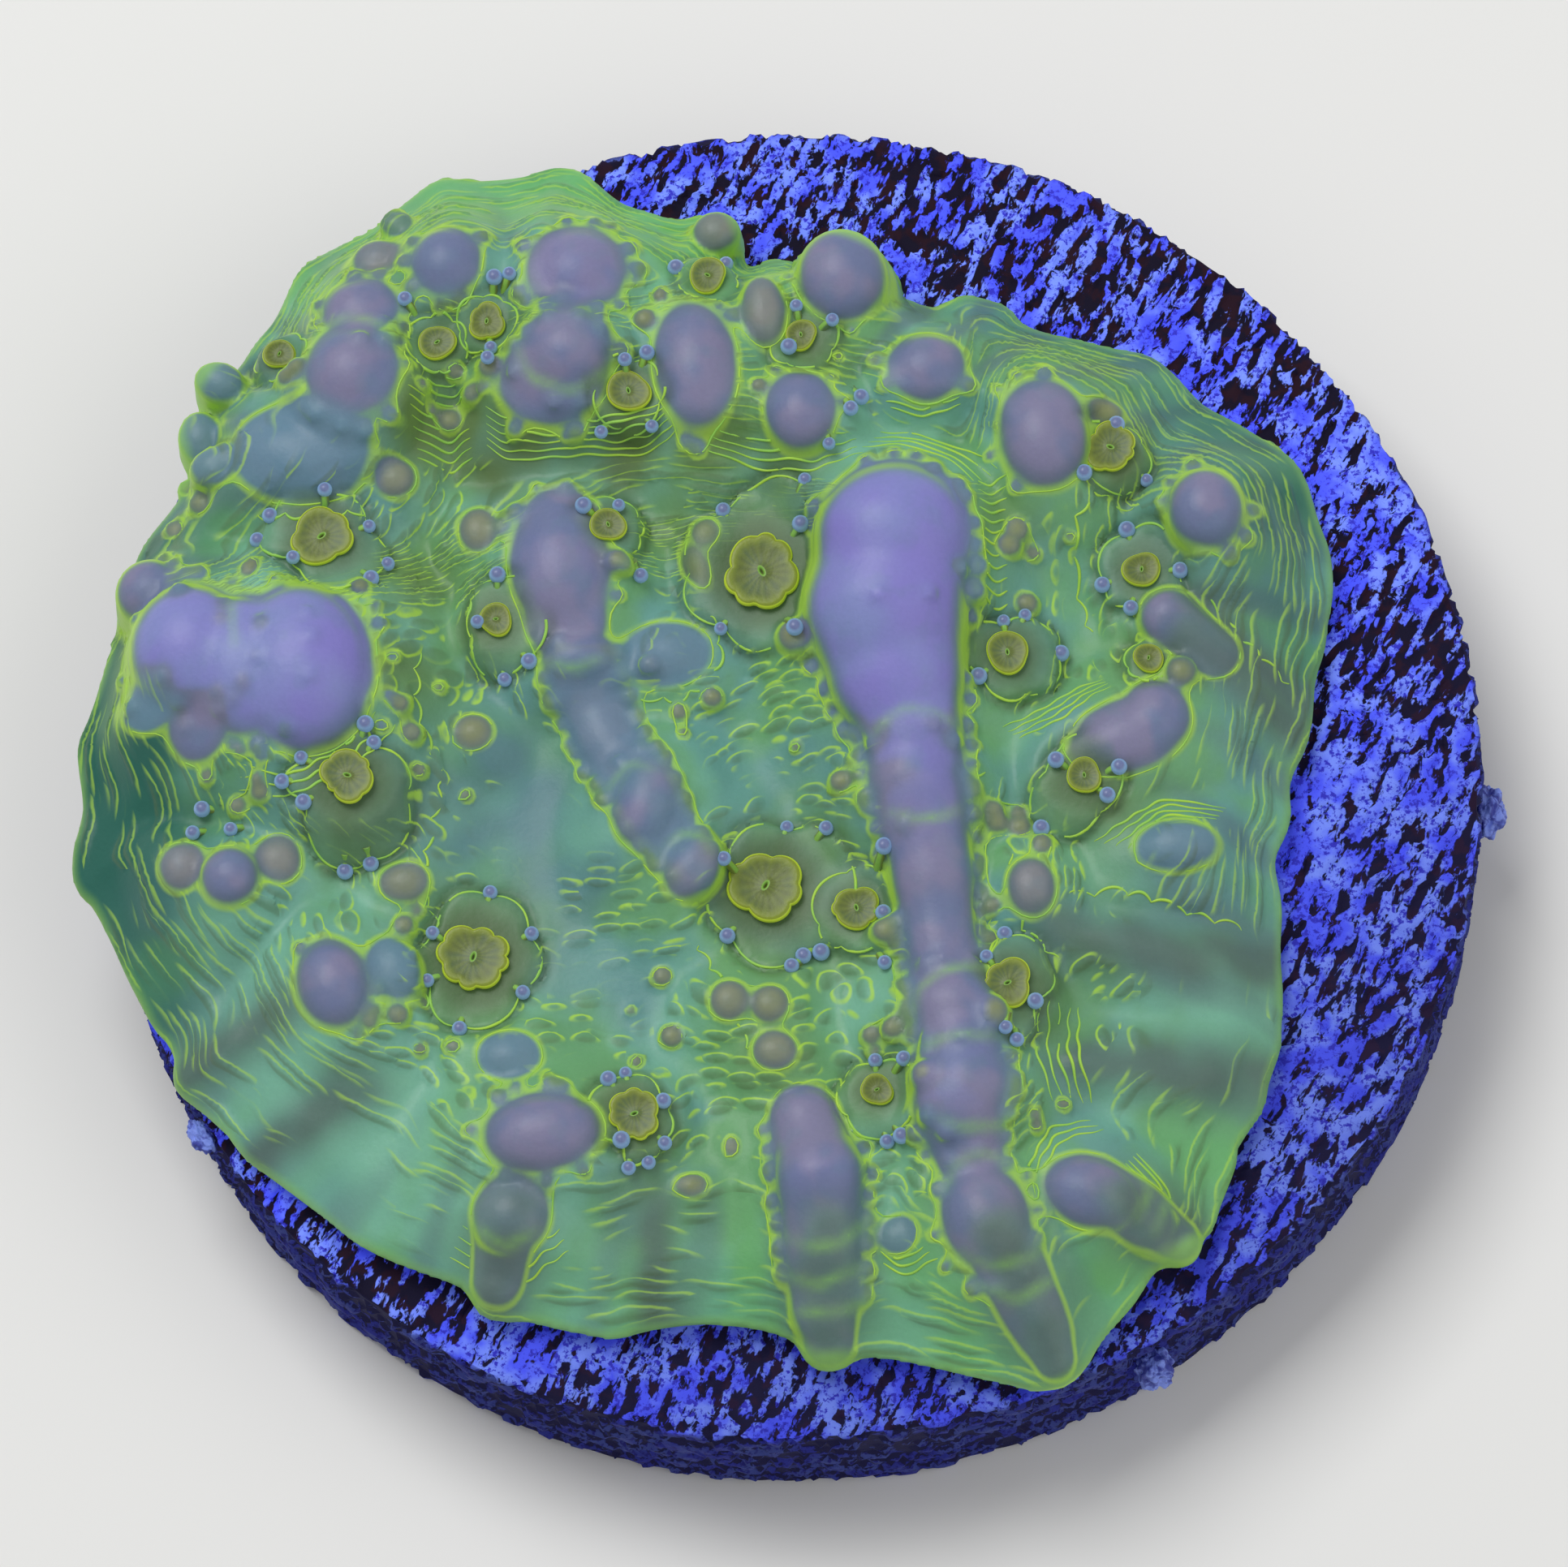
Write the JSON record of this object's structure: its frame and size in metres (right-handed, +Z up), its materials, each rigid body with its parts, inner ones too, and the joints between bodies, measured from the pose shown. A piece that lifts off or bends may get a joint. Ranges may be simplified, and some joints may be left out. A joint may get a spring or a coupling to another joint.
{
  "type": "chalice coral frag",
  "caption": "Encrusting chalice coral with rounded bulbs, ridges and low polyp cushions, grown as one plate on a thick round ceramic disc that stands flat.",
  "frame": {"origin": "centre of the disc's flat underside", "axes": "+Z up, out of the disc's top face; +Y towards the crown of bulbs at the back, +X towards the side where the disc's rim shows most"},
  "size_m": [0.034, 0.032, 0.009],
  "materials": {
    "disc_ceramic": "matt, porous",
    "coral_flesh": "wet gloss",
    "rim_calcite": "satin"
  },
  "bodies": {
    "root": {"frag_disc": "disc_ceramic", "coral_colony": "coral_flesh", "rim_speck_west": "rim_calcite", "rim_speck_south_east": "rim_calcite", "rim_burr_east": "rim_calcite"}
  },
  "joints": []
}
